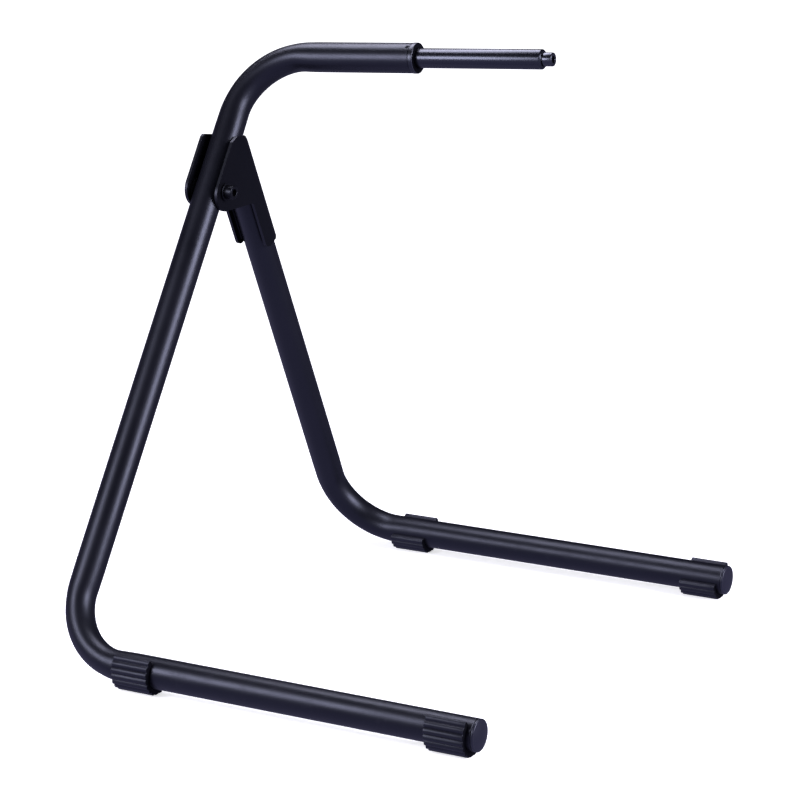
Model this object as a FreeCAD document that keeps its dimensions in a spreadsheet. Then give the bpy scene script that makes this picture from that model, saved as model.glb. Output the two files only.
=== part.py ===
import FreeCAD, Part
import math
import os

import Sketcher

# A folding bike stand.  Two bent tubes form an A-frame: the main tube runs from its foot up the leg into the
# arm, and the side tube carries a folded steel bracket that straddles the main leg on a pivot bolt.  The arm
# ends in a stub spindle that goes into the hollow axle of a crankset; its sleeve turns with the crank.
# Lengths are in millimetres and angles in degrees.  The floor is z = 0, the feet and the arm point along +X,
# and the origin is below the middle of the stand.

SIZES = [
    ("tube", 22.2, "outside diameter of both frame tubes"),
    ("wall", 1.5, "wall of both frame tubes"),
    ("bend", 51.0, "centre-line radius of every bend"),
    ("spread", 392.2, "distance between the two foot tubes' axes"),
    ("foot_height", 15.1, "height of the foot tubes' axes above the floor"),
    ("setback", 159.25, "distance from the origin back to the legs' plane"),
    ("main_lean", 33.37, "lean of the main leg from the vertical"),
    ("side_lean", 26.49, "lean of the side leg from the vertical"),
    ("main_foot", 329.5, "main foot, from the leg's axis to the tube's end"),
    ("side_foot", 337.5, "side foot, from the leg's axis to the tube's end"),
    ("main_leg", 472.0, "main leg, from the foot's axis to the arm's axis"),
    ("side_leg", 354.0, "side leg, from the foot's axis to the tube's end"),
    ("arm_tube", 136.4, "arm tube, from the leg's axis to the tube's end"),
    ("arm_rise", 3.07, "rise of the arm out of the leg's square"),
    ("pivot_up", 361.2, "pivot, from the foot's axis along the main leg"),
    ("pad_length", 29.0, "length of a foot pad along its tube"),
    ("pad_radius", 15.7, "radius over the ribs of a foot pad"),
    ("pad_span", 110.0, "angle that a pad covers each side of its middle"),
    ("pad_lip", 2.0, "rounding of a pad's two long lips"),
    ("rib_pitch", 18.4, "angle between the grooves of a pad"),
    ("rib_groove", 0.8, "depth of a groove between two ribs"),
    ("rib_half", 2.7, "half of a groove's angle at the surface"),
    ("pad_inset", 3.3, "distance from the outer pad to the tube's end"),
    ("pad_start", 51.8, "distance from the leg's axis to the inner pad"),
    ("cap_head", 3.6, "height of an end cap's head beyond the tube"),
    ("cap_round", 2.4, "rounding of an end cap's rim"),
    ("cap_stem", 12.0, "depth of an end cap inside the tube"),
    ("cap_hollow", 7.4, "radius of the hollow in an end cap's stem"),
    ("cap_web", 1.0, "distance from the tube's end to the bottom of that hollow"),
    ("bush_flange", 3.6, "thickness of the arm bush's flange"),
    ("bush_radius", 11.3, "radius of the arm bush's flange"),
    ("bush_round", 1.2, "bevel of the arm bush's flange"),
    ("bush_stem", 32.0, "depth of the arm bush inside the tube"),
    ("screw_at", 134.4, "bush screw, from the leg's axis along the arm"),
    ("screw_turn", 70.5, "bush screw, turned about the arm from its top"),
    ("screw_radius", 1.25, "radius of the bush screw"),
    ("screw_tip", 8.1, "distance from the arm's axis to the screw's tip"),
    ("screw_sink", 0.2, "depth of the bush screw's face below the tube's outside"),
    ("screw_socket", 1.2, "depth of the bush screw's hexagon socket"),
    ("sleeve_radius", 7.25, "outside radius of the spindle sleeve"),
    ("journal_radius", 7.0, "radius of the sleeve's journal, which runs in the bush"),
    ("journal_end", 140.3, "outer end of the journal along the arm"),
    ("sleeve_bore", 4.08, "bore radius of the spindle sleeve"),
    ("sleeve_start", 92.0, "inner end of the sleeve along the arm"),
    ("sleeve_end", 240.2, "outer end of the sleeve along the arm"),
    ("sleeve_bevel", 1.2, "bevel at the sleeve's outer end"),
    ("shank_radius", 4.0, "radius of the spindle screw's shank"),
    ("head_radius", 5.0, "radius of the spindle screw's head"),
    ("head_start", 240.5, "inner face of the spindle screw's head"),
    ("head_end", 247.7, "outer face of the spindle screw's head"),
    ("head_bevel", 0.7, "bevel of the spindle screw's head"),
    ("head_socket", 4.0, "depth of the spindle screw's hexagon socket"),
    ("anchor_start", 70.0, "inner face of the spindle anchor"),
    ("anchor_end", 91.6, "outer face of the spindle anchor"),
    ("fit", 0.06, "running clearance on the radius"),
    ("hole_play", 0.15, "clearance on the radius of the holes that the bolt passes through"),
    ("overcut", 0.2, "distance that a cut's outline runs beyond the surface it cuts"),
    ("bolt_radius", 3.0, "radius of the pivot bolt's shank"),
    ("bolt_head", 5.2, "radius of the pivot bolt's head"),
    ("bolt_rise", 6.4, "height of the pivot bolt's head"),
    ("bolt_bevel", 0.8, "bevel of the pivot bolt's head"),
    ("bolt_socket", 3.5, "depth of the pivot bolt's hexagon socket"),
    ("bolt_point", 0.6, "bevel at the end of the pivot bolt's thread"),
    ("bolt_tail", 0.4, "thread that stands out of the nut"),
    ("hub_radius", 5.0, "outside radius of the pivot sleeve"),
    ("hub_half", 11.1, "half of the pivot sleeve's length"),
    ("spacer", 0.35, "thickness of a pivot spacer"),
    ("spacer_radius", 8.0, "outside radius of a pivot spacer"),
    ("washer", 1.6, "thickness of the washer under the bolt's head"),
    ("washer_radius", 6.6, "outside radius of that washer"),
    ("nut_flats", 10.0, "nut, across its flats"),
    ("nut_height", 3.2, "height of the thin nut"),
    ("nut_bevel", 0.7, "height of the bevel on the nut's corners"),
    ("nut_bevel_out", 1.2, "width of the bevel on the nut's corners"),
    ("gap_half", 11.5, "half of the gap between the bracket's cheeks"),
    ("sheet", 2.2, "thickness of the bracket's steel"),
    ("blank_depth", 62.5, "depth of the bent sheet before its outline is cut"),
    ("blank_height", 121.0, "height of the bent sheet before its outline is cut"),
    ("bracket_low", 284.0, "bracket's lower end along the side leg"),
    ("bracket_step", 328.9, "where the cheeks widen towards the pivot"),
    ("cheek_edge", 10.7, "narrow cheeks' edge, from the side leg's axis"),
    ("boss", 12.7, "radius of the cheeks round the pivot"),
    ("cheek_top", 36.5, "length of the cheeks' free edge"),
    ("right_lift", -2.3, "rise of the outline of the cheek under the bolt's head along the side leg"),
    ("left_lift", 1.0, "rise of the other cheek's outline"),
    ("right_top", 5.5, "where that first cheek's top begins to fall, from the side leg's axis"),
    ("left_top", 10.5, "where the other cheek's top begins to fall"),
    ("top_side", 379.4, "height of both cheeks' tops beside the side leg's axis"),
    ("top_back", 370.0, "height of the wrap's top behind the side leg"),
    ("low_round", 5.5, "rounding of the cheeks' lower corners"),
    ("step_round", 3.0, "rounding of the cheeks' inner corners"),
    ("top_round", 3.5, "rounding of the cheeks' free top corners"),
    ("stop_gap", 0.4, "clearance between the bracket's stop and the main leg"),
    ("stop_length", 90.0, "length of the cut that makes the stop"),
    ("bead", 1.9, "leg of the weld beads"),
    ("bead_angle", 150.0, "angle that the lower bead runs round the side leg"),
    ("bead_sink", 0.6, "depth of a bead's root below the surface beside it"),
    ("bead_front", 6.2, "side beads, from the side leg's axis towards the pivot"),
    ("bead_inset", 4.0, "distance from a side bead's ends to the narrow cheeks' ends"),
]

doc = FreeCAD.newDocument("repair_stand")
sheet = doc.addObject("Spreadsheet::Sheet", "Size")
pieces = []


def fill_sheet():
    for row, (alias, value, meaning) in enumerate(SIZES, start=1):
        sheet.set(f"A{row}", alias)
        sheet.set(f"B{row}", str(value))
        sheet.set(f"C{row}", meaning)
        sheet.setAlias(f"B{row}", alias)
    doc.recompute()


def size(alias):
    return float(sheet.get(alias))


def turn_about(axis, angle):
    return FreeCAD.Placement(FreeCAD.Vector(), FreeCAD.Rotation(axis, angle))


def shift(x=0.0, y=0.0, z=0.0):
    return FreeCAD.Placement(FreeCAD.Vector(x, y, z), FreeCAD.Rotation())


X_AXIS = FreeCAD.Vector(1, 0, 0)
Y_AXIS = FreeCAD.Vector(0, 1, 0)
Z_AXIS = FreeCAD.Vector(0, 0, 1)


# Frames: where the pieces stand in the assembly.


def main_frame():
    """Main foot's corner: X along the foot, Z up the main leg."""
    corner = shift(-size("setback"), -size("spread") / 2, size("foot_height"))
    return corner * turn_about(X_AXIS, -size("main_lean"))


def side_frame():
    """Side foot's corner: X along the foot, Z up the side leg."""
    corner = shift(-size("setback"), size("spread") / 2, size("foot_height"))
    return corner * turn_about(X_AXIS, size("side_lean"))


def arm_frame():
    """Arm's corner: X along the arm's axis."""
    return main_frame() * shift(z=size("main_leg")) * turn_about(Y_AXIS, -size("arm_rise"))


def pivot_frame():
    """Pivot: X along the bolt, Z up the main leg."""
    return main_frame() * shift(z=size("pivot_up"))


def pivot_on_side_leg():
    """Pivot in the side leg's frame, as (outwards, along the leg)."""
    spot = side_frame().inverse().multVec(pivot_frame().Base)
    return spot.y, spot.z


# Sketch and feature helpers.


def new_body(label):
    body = doc.addObject("PartDesign::Body", label)
    body.Label = label
    pieces.append(body)
    return body


def sketch_on(body, role, name, lift=None, offset=None):
    """Sketch on one of the body's own planes, lifted by an expression or moved by a placement."""
    sketch = body.newObject("Sketcher::SketchObject", name)
    plane = next(item for item in body.Origin.OriginFeatures if item.Role == role)
    sketch.AttachmentSupport = [(plane, "")]
    sketch.MapMode = "FlatFace"
    if offset is not None:
        sketch.AttachmentOffset = offset
    if lift is not None:
        sketch.setExpression("AttachmentOffset.Base.z", lift)
    return sketch


def hold(sketch, kind, geometry, point, expression):
    """Constrain one coordinate of a point, measured from the sketch's origin, by an expression."""
    value = float(sheet.evalExpression(expression))
    number = sketch.addConstraint(Sketcher.Constraint(kind, -1, 1, geometry, point, value))
    sketch.setExpression(f"Constraints[{number}]", expression)


def hold_radius(sketch, geometry, expression):
    value = float(sheet.evalExpression(expression))
    number = sketch.addConstraint(Sketcher.Constraint("Radius", geometry, value))
    sketch.setExpression(f"Constraints[{number}]", expression)


def arc_between(start, end, radius, side):
    """Short arc from start to end; side is 1 when it turns left and -1 when it turns right."""
    chord = end - start
    reach = math.sqrt(max(radius ** 2 - (chord.Length / 2) ** 2, 0.0))
    left = FreeCAD.Vector(-chord.y, chord.x, 0).normalize()
    centre = (start + end) * 0.5 + left * reach * side
    first, last = (start, end) if side > 0 else (end, start)
    angles = [math.atan2(spot.y - centre.y, spot.x - centre.x) for spot in (first, last)]
    return Part.ArcOfCircle(Part.Circle(centre, Z_AXIS, radius), angles[0], angles[1])


def trace(sketch, corners, closed=True):
    """Outline through corners held by expressions.

    A corner is (x, y), or (x, y, radius, side) where an arc runs on to the next corner.
    """
    spots = [FreeCAD.Vector(sheet.evalExpression(corner[0]), sheet.evalExpression(corner[1]), 0)
             for corner in corners]
    runs = len(corners) if closed else len(corners) - 1
    edges = []
    for run in range(runs):
        start = spots[run]
        end = spots[(run + 1) % len(spots)]
        if len(corners[run]) == 2:
            edge = sketch.addGeometry(Part.LineSegment(start, end), False)
            edges.append((edge, 1, 2))
            continue
        radius_expression, side = corners[run][2:]
        arc = arc_between(start, end, float(sheet.evalExpression(radius_expression)), side)
        edge = sketch.addGeometry(arc, False)
        edges.append((edge, 1, 2) if side > 0 else (edge, 2, 1))
        hold_radius(sketch, edge, radius_expression)
    for run, (edge, first, last) in enumerate(edges):
        hold(sketch, "DistanceX", edge, first, corners[run][0])
        hold(sketch, "DistanceY", edge, first, corners[run][1])
        if closed or run < runs - 1:
            following = edges[(run + 1) % runs]
            sketch.addConstraint(Sketcher.Constraint("Coincident", edge, last, following[0], following[1]))
        else:
            hold(sketch, "DistanceX", edge, last, corners[-1][0])
            hold(sketch, "DistanceY", edge, last, corners[-1][1])


def trace_circle(sketch, radius, across="0", up="0"):
    centre = FreeCAD.Vector(sheet.evalExpression(across), sheet.evalExpression(up), 0)
    circle = Part.Circle(centre, Z_AXIS, float(sheet.evalExpression(radius)))
    edge = sketch.addGeometry(circle, False)
    hold(sketch, "DistanceX", edge, 3, across)
    hold(sketch, "DistanceY", edge, 3, up)
    hold_radius(sketch, edge, radius)


def trace_hexagon(sketch, flats):
    """Hexagon about the sketch's origin, from its size across the flats."""
    corner_radius = f"{flats} / 2 / cos(30)"
    trace(sketch, [(f"{corner_radius} * cos({60 * step})", f"{corner_radius} * sin({60 * step})")
                   for step in range(6)])


def pad(body, sketch, length, both_sides=False):
    feature = body.newObject("PartDesign::Pad", "Pad")
    feature.Profile = sketch
    feature.setExpression("Length", length)
    if both_sides:
        feature.SideType = "Symmetric"
    return feature


def pocket(body, sketch, length=None, outwards=False):
    """Cut a sketch's outline out: through everything both ways, or by a length to one side."""
    feature = body.newObject("PartDesign::Pocket", "Pocket")
    feature.Profile = sketch
    if length is None:
        feature.Type = "ThroughAll"
        feature.SideType = "Symmetric"
    else:
        feature.setExpression("Length", length)
        feature.Reversed = outwards
    return feature


def turned(label, corners, place):
    """Piece turned about its own X axis from the half outline (along, radius)."""
    body = new_body(label)
    sketch = sketch_on(body, "XZ_Plane", "Section")
    trace(sketch, corners)
    feature = body.newObject("PartDesign::Revolution", "Revolution")
    feature.Profile = sketch
    feature.ReferenceAxis = (sketch, ["H_Axis"])
    feature.Angle = 360.0
    body.Placement = place
    return body


def sink_hexagon(body, flats, face, depth):
    """Hexagon socket sunk into the end face that looks along +X."""
    sketch = sketch_on(body, "YZ_Plane", "Socket", lift=face)
    trace_hexagon(sketch, flats)
    pocket(body, sketch, depth)


# Frame tubes.


def swept_tube(label, foot, path, place):
    """Tube swept from the end of its foot along a path in its XZ plane."""
    body = new_body(label)
    section = sketch_on(body, "YZ_Plane", "Section", lift=foot)
    trace_circle(section, "Size.tube / 2")
    trace_circle(section, "Size.tube / 2 - Size.wall")
    route = sketch_on(body, "XZ_Plane", "Route")
    trace(route, path, closed=False)
    feature = body.newObject("PartDesign::AdditivePipe", "Pipe")
    feature.Profile = section
    feature.Spine = route
    body.Placement = place
    return body


def main_tube():
    run_in = "Size.bend * tan((90 - Size.arm_rise) / 2)"
    path = [
        ("Size.main_foot", "0"),
        ("Size.bend", "0", "Size.bend", -1),
        ("0", "Size.bend"),
        ("0", f"Size.main_leg - {run_in}", "Size.bend", -1),
        (f"{run_in} * cos(Size.arm_rise)", f"Size.main_leg + {run_in} * sin(Size.arm_rise)"),
        ("Size.arm_tube * cos(Size.arm_rise)", "Size.main_leg + Size.arm_tube * sin(Size.arm_rise)"),
    ]
    body = swept_tube("main_tube", "Size.main_foot", path, main_frame())
    pivot_hole = sketch_on(body, "YZ_Plane", "PivotHole")
    trace_circle(pivot_hole, "Size.hub_radius", up="Size.pivot_up")
    pocket(body, pivot_hole)
    on_arm = main_frame().inverse() * arm_frame() * screw_turn()
    screw_hole = sketch_on(body, "XY_Plane", "ScrewHole", offset=on_arm)
    trace_circle(screw_hole, "Size.screw_radius")
    pocket(body, screw_hole, "Size.tube", outwards=True)


def side_tube():
    path = [
        ("Size.side_foot", "0"),
        ("Size.bend", "0", "Size.bend", -1),
        ("0", "Size.bend"),
        ("0", "Size.side_leg"),
    ]
    swept_tube("side_tube", "Size.side_foot", path, side_frame())


# Feet.


def foot_pad(label, corner, tilt, start):
    """Ribbed rubber clip round a foot tube; tilt turns its middle from straight down towards -Y."""
    body = new_body(label)

    def polar(radius, angle):
        return f"-({radius}) * sin({tilt} + {angle})", f"-({radius}) * cos({tilt} + {angle})"

    section = sketch_on(body, "YZ_Plane", "Section", lift=start)
    outer, inner = "Size.pad_radius", "Size.tube / 2"
    trace(section, [
        polar(outer, "-Size.pad_span") + (outer, -1),
        polar(outer, "0") + (outer, -1),
        polar(outer, "Size.pad_span"),
        polar(inner, "Size.pad_span") + (inner, 1),
        polar(inner, "0") + (inner, 1),
        polar(inner, "-Size.pad_span"),
    ])
    solid = pad(body, section, "Size.pad_length")
    doc.recompute()
    lips = body.newObject("PartDesign::Fillet", "Lips")
    lips.Base = (solid, long_edges(solid.Shape, size("pad_radius"), size("pad_span")))
    lips.setExpression("Radius", "Size.pad_lip")
    doc.recompute()

    first = "-5 * Size.rib_pitch"
    groove = sketch_on(body, "YZ_Plane", "Groove", lift=start)
    trace(groove, [
        polar(f"{outer} + Size.overcut", f"{first} - Size.rib_half"),
        polar(f"{outer} + Size.overcut", f"{first} + Size.rib_half"),
        polar(f"{outer} - Size.rib_groove", first),
    ])
    cut = pocket(body, groove, "Size.pad_length", outwards=True)
    doc.recompute()
    ribs = body.newObject("PartDesign::PolarPattern", "Ribs")
    ribs.Originals = [cut]
    ribs.Axis = (groove, ["N_Axis"])
    ribs.Reversed = True
    ribs.setExpression("Angle", "10 * Size.rib_pitch")
    ribs.Occurrences = 11
    body.Tip = ribs
    doc.recompute()

    sole = sketch_on(body, "YZ_Plane", "Sole", lift=start)
    trace(sole, [
        ("-Size.pad_radius", "-Size.pad_radius - Size.overcut"),
        ("Size.pad_radius", "-Size.pad_radius - Size.overcut"),
        ("Size.pad_radius", "-Size.foot_height"),
        ("-Size.pad_radius", "-Size.foot_height"),
    ])
    pocket(body, sole, "Size.pad_length", outwards=True)
    body.Placement = corner


def long_edges(shape, radius, span):
    """Names of the straight edges along X that lie on the outer radius, at the pad's two lips."""
    names = []
    for number, edge in enumerate(shape.Edges, start=1):
        ends = [vertex.Point for vertex in edge.Vertexes]
        along = abs(ends[0].x - ends[-1].x) > 1.0
        outer = all(abs(math.hypot(end.y, end.z) - radius) < 0.01 for end in ends)
        if along and outer and not lies_between_lips(ends[0], shape, span):
            names.append(f"Edge{number}")
    return names


def lies_between_lips(spot, shape, span):
    """True for the seam in the middle of the pad, which is its radius away from the pad's far side."""
    centre = shape.CenterOfMass
    return spot.y * centre.y + spot.z * centre.z > math.cos(math.radians(span / 2)) * math.hypot(
        spot.y, spot.z) * math.hypot(centre.y, centre.z)


def end_cap(label, foot, place):
    """Plastic plug with a rounded head; X runs out of the tube, from the leg's axis."""
    head = "Size.tube / 2"
    stem = "Size.tube / 2 - Size.wall"
    top = f"{foot} + Size.cap_head"
    turned(label, [
        (f"{foot} - Size.cap_stem", "Size.cap_hollow"),
        (f"{foot} - Size.cap_web", "Size.cap_hollow"),
        (f"{foot} - Size.cap_web", "0"),
        (f"{top}", "0"),
        (f"{top}", f"{head} - Size.cap_round", "Size.cap_round", 1),
        (f"{top} - Size.cap_round", head),
        (foot, head),
        (foot, stem),
        (f"{foot} - Size.cap_stem", stem),
    ], place)


def foot_corner(side):
    """Frame on a foot's axis with Z straight up; side is -1 for the main foot and 1 for the side foot."""
    return shift(-size("setback"), side * size("spread") / 2, size("foot_height"))


def feet():
    inner = "Size.pad_start"
    for name, side, tilt, foot in (("main", -1, "Size.main_lean", "Size.main_foot"),
                                   ("side", 1, "-Size.side_lean", "Size.side_foot")):
        outer = f"{foot} - Size.pad_inset - Size.pad_length"
        foot_pad(f"{name}_inner_pad", foot_corner(side), tilt, inner)
        foot_pad(f"{name}_outer_pad", foot_corner(side), tilt, outer)
        end_cap(f"{name}_foot_cap", foot, foot_corner(side))


# Arm end and spindle.


def screw_turn():
    """Placement, on the arm's axis, whose Z axis is the bush screw's."""
    return shift(x=size("screw_at")) * turn_about(X_AXIS, size("screw_turn"))


def arm_bush():
    end = "Size.arm_tube"
    face = f"{end} + Size.bush_flange"
    stem = "Size.tube / 2 - Size.wall"
    bore = "Size.journal_radius + Size.fit"
    body = turned("arm_bush", [
        (f"{end} - Size.bush_stem", bore),
        (face, bore),
        (face, "Size.bush_radius - Size.bush_round"),
        (f"{face} - Size.bush_round", "Size.bush_radius"),
        (end, "Size.bush_radius"),
        (end, stem),
        (f"{end} - Size.bush_stem", stem),
    ], arm_frame())
    on_tip = screw_turn() * shift(z=size("screw_tip"))
    hole = sketch_on(body, "XY_Plane", "ScrewHole", offset=on_tip)
    trace_circle(hole, "Size.screw_radius")
    pocket(body, hole, "Size.tube", outwards=True)


def bush_screw():
    face = "Size.tube / 2 - Size.screw_sink"
    body = turned("bush_screw", [
        ("Size.screw_tip", "0"),
        (face, "0"),
        (face, "Size.screw_radius"),
        ("Size.screw_tip", "Size.screw_radius"),
    ], arm_frame() * screw_turn() * turn_about(Y_AXIS, -90))
    sink_hexagon(body, "Size.screw_radius", face, "Size.screw_socket")


def spindle():
    turned("spindle_sleeve", [
        ("Size.sleeve_start", "Size.sleeve_bore"),
        ("Size.sleeve_end", "Size.sleeve_bore"),
        ("Size.sleeve_end", "Size.sleeve_radius - Size.sleeve_bevel"),
        ("Size.sleeve_end - Size.sleeve_bevel", "Size.sleeve_radius"),
        ("Size.journal_end", "Size.sleeve_radius"),
        ("Size.journal_end", "Size.journal_radius"),
        ("Size.sleeve_start", "Size.journal_radius"),
    ], arm_frame())
    core = turned("spindle_screw", [
        ("Size.anchor_start", "0"),
        ("Size.head_end", "0"),
        ("Size.head_end", "Size.head_radius - Size.head_bevel"),
        ("Size.head_end - Size.head_bevel", "Size.head_radius"),
        ("Size.head_start", "Size.head_radius"),
        ("Size.head_start", "Size.shank_radius"),
        ("Size.anchor_start", "Size.shank_radius"),
    ], arm_frame())
    sink_hexagon(core, "Size.head_radius", "Size.head_end", "Size.head_socket")
    turned("spindle_anchor", [
        ("Size.anchor_start", "Size.shank_radius"),
        ("Size.anchor_end", "Size.shank_radius"),
        ("Size.anchor_end", "Size.tube / 2 - Size.wall"),
        ("Size.anchor_start", "Size.tube / 2 - Size.wall"),
    ], arm_frame())


# Pivot.


def pivot_sleeve():
    turned("pivot_sleeve", [
        ("-Size.hub_half", "Size.bolt_radius + Size.fit"),
        ("Size.hub_half", "Size.bolt_radius + Size.fit"),
        ("Size.hub_half", "Size.hub_radius"),
        ("-Size.hub_half", "Size.hub_radius"),
    ], pivot_frame())


def pivot_spacers():
    """Two equal flat rings on the pivot, one at each end of its sleeve, in one group."""
    rings = []
    for side in (1, -1):
        disc = doc.addObject("Part::Cylinder", "SpacerDisc")
        disc.setExpression("Radius", "Size.spacer_radius")
        disc.setExpression("Height", "Size.spacer")
        hole = doc.addObject("Part::Cylinder", "SpacerHole")
        hole.setExpression("Radius", "Size.bolt_radius + Size.hole_play")
        hole.setExpression("Height", "Size.spacer")
        ring = doc.addObject("Part::Cut", "SpacerRing")
        ring.Base = disc
        ring.Tool = hole
        ring.Placement = shift(x=side * size("hub_half")) * turn_about(Y_AXIS, 90 * side)
        rings.append(ring)
    group = doc.addObject("Part::Compound", "pivot_spacers")
    group.Label = "pivot_spacers"
    group.Links = rings
    group.Placement = pivot_frame()
    pieces.append(group)


def bolt_washer():
    face = "Size.gap_half + Size.sheet"
    turned("bolt_washer", [
        (face, "Size.bolt_radius + Size.hole_play"),
        (f"{face} + Size.washer", "Size.bolt_radius + Size.hole_play"),
        (f"{face} + Size.washer", "Size.washer_radius"),
        (face, "Size.washer_radius"),
    ], pivot_frame())


def pivot_bolt():
    seat = "Size.gap_half + Size.sheet + Size.washer"
    top = f"{seat} + Size.bolt_rise"
    tail = "-(Size.gap_half + Size.sheet + Size.nut_height + Size.bolt_tail)"
    body = turned("pivot_bolt", [
        (tail, "0"),
        (top, "0"),
        (top, "Size.bolt_head - Size.bolt_bevel"),
        (f"{top} - Size.bolt_bevel", "Size.bolt_head"),
        (seat, "Size.bolt_head"),
        (seat, "Size.bolt_radius"),
        (f"{tail} + Size.bolt_point", "Size.bolt_radius"),
        (tail, "Size.bolt_radius - Size.bolt_point"),
    ], pivot_frame())
    sink_hexagon(body, "Size.bolt_head", top, "Size.bolt_socket")


def pivot_nut():
    """Thin hexagon nut with bevelled corners against the far cheek.  X runs off the end of the bolt."""
    body = new_body("pivot_nut")
    section = sketch_on(body, "YZ_Plane", "Hexagon")
    trace_hexagon(section, "Size.nut_flats")
    trace_circle(section, "Size.bolt_radius")
    pad(body, section, "Size.nut_height")
    bevel_section = sketch_on(body, "XZ_Plane", "Bevel")
    bevel_rim = "Size.nut_flats / 2 + Size.nut_bevel_out"
    trace(bevel_section, [
        ("Size.nut_height - Size.nut_bevel", bevel_rim),
        ("Size.nut_height", "Size.nut_flats / 2"),
        ("Size.nut_height", bevel_rim),
    ])
    bevel = body.newObject("PartDesign::Groove", "BevelTurn")
    bevel.Profile = bevel_section
    bevel.ReferenceAxis = (bevel_section, ["H_Axis"])
    bevel.Angle = 360.0
    seat = size("gap_half") + size("sheet")
    body.Placement = pivot_frame() * shift(x=-seat) * turn_about(Z_AXIS, 180)


def pivot():
    pivot_sleeve()
    pivot_spacers()
    pivot_bolt()
    bolt_washer()
    pivot_nut()


# Hinge bracket.


def leg_directions():
    """The main leg's way up and the way out of its upper side, in the side leg's (outwards, along)."""
    opening = math.radians(size("main_lean") + size("side_lean"))
    up = FreeCAD.Vector(math.sin(opening), math.cos(opening), 0)
    out = FreeCAD.Vector(-math.cos(opening), math.sin(opening), 0)
    return up, out


def cheek_corners(name):
    """Outline of the right or left half of the bracket seen along X, as (outwards, along the side leg)."""
    across, along = pivot_on_side_leg()
    leg_up, leg_out = leg_directions()
    boss = size("boss")
    lift = size(f"{name}_lift")

    step = FreeCAD.Vector(-size("cheek_edge"), size("bracket_step") + lift, 0)
    centre = FreeCAD.Vector(across, along + lift, 0)
    to_centre = centre - step
    heading = math.atan2(to_centre.y, to_centre.x) + math.asin(boss / to_centre.Length)
    low_touch = centre + FreeCAD.Vector(-math.sin(heading), math.cos(heading), 0) * boss
    side_touch = centre + leg_out * boss
    free_top = side_touch + leg_up * size("cheek_top")
    outer = size("gap_half") + size("sheet") + size("overcut")
    return [
        FreeCAD.Vector(-size("cheek_edge"), size("bracket_low"), 0),
        step,
        low_touch,
        side_touch,
        free_top,
        FreeCAD.Vector(-size(f"{name}_top"), free_top.y, 0),
        FreeCAD.Vector(0, size("top_side"), 0),
        FreeCAD.Vector(outer, size("top_back"), 0),
        FreeCAD.Vector(outer, size("bracket_low"), 0),
    ]


def stop_corners():
    """Outline of the cut that ends the bracket's wrap just under the main leg."""
    across, along = pivot_on_side_leg()
    leg_up, leg_out = leg_directions()
    start = FreeCAD.Vector(across, along, 0) - leg_out * (size("tube") / 2 + size("stop_gap"))
    end = start + leg_up * size("stop_length")
    return [start, end, end + leg_out * size("tube"), start + leg_out * size("tube")]


def plain(corners):
    """Corners worked out above, as sketch corners."""
    return [(f"{corner.x:.4f}", f"{corner.y:.4f}") for corner in corners]


def hinge_bracket():
    body = new_body("hinge_bracket")
    section = sketch_on(body, "XY_Plane", "Section", lift="Size.bracket_low")
    inner = "Size.gap_half"
    outer = "(Size.gap_half + Size.sheet)"
    reach = "-Size.blank_depth"
    trace(section, [
        (f"-{outer}", reach),
        (f"-{inner}", reach),
        (f"-{inner}", "0", inner, -1),
        ("0", inner, inner, -1),
        (inner, "0"),
        (inner, reach),
        (outer, reach),
        (outer, "0", outer, 1),
        ("0", outer, outer, 1),
        (f"-{outer}", "0"),
    ])
    pad(body, section, "Size.blank_height")

    for name, outwards in (("right", True), ("left", False)):
        trim = sketch_on(body, "YZ_Plane", "Trim")
        blank_low = "Size.bracket_low - Size.overcut"
        blank_top = "Size.bracket_low + Size.blank_height + Size.overcut"
        trace(trim, [
            ("-Size.blank_depth - Size.overcut", blank_low),
            ("Size.tube", blank_low),
            ("Size.tube", blank_top),
            ("-Size.blank_depth - Size.overcut", blank_top),
        ])
        cheek = plain(cheek_corners(name))
        cheek[2] = cheek[2] + ("Size.boss", -1)
        trace(trim, cheek)
        pocket(body, trim, "Size.tube", outwards=outwards)

    bolt_hole = sketch_on(body, "YZ_Plane", "BoltHole")
    across, along = pivot_on_side_leg()
    trace_circle(bolt_hole, "Size.bolt_radius + Size.hole_play", f"{across:.4f}", f"{along:.4f}")
    pocket(body, bolt_hole)

    stop = sketch_on(body, "YZ_Plane", "Stop")
    trace(stop, plain(stop_corners()))
    cut = body.newObject("PartDesign::Pocket", "StopCut")
    cut.Profile = stop
    cut.SideType = "Symmetric"
    cut.setExpression("Length", "2 * Size.gap_half")
    body.Placement = side_frame()
    doc.recompute()
    round_corners(body, cut)


def round_corners(body, base):
    """Round each cheek's sheet corners: the lower edge, the step and the top."""
    for name, side in (("right", 1), ("left", -1)):
        low, step, _, _, top = cheek_corners(name)[:5]
        for alias, spot in (("low_round", low), ("step_round", step), ("top_round", top)):
            doc.recompute()
            rounding = body.newObject("PartDesign::Fillet", f"{name}_{alias}")
            rounding.Base = (base, edges_through_sheet(base.Shape, spot, side))
            rounding.setExpression("Radius", f"Size.{alias}")
            base = rounding


def edges_through_sheet(shape, spot, side):
    """Names of the edges along X that stand on one corner of one cheek's outline."""
    near = 0.05
    names = []
    for number, edge in enumerate(shape.Edges, start=1):
        ends = [vertex.Point for vertex in edge.Vertexes]
        here = all(math.hypot(end.y - spot.x, end.z - spot.y) < near for end in ends)
        if here and ends[0].x * side > 0 and abs(ends[0].x - ends[-1].x) > size("sheet") / 2:
            names.append(f"Edge{number}")
    return names


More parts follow.
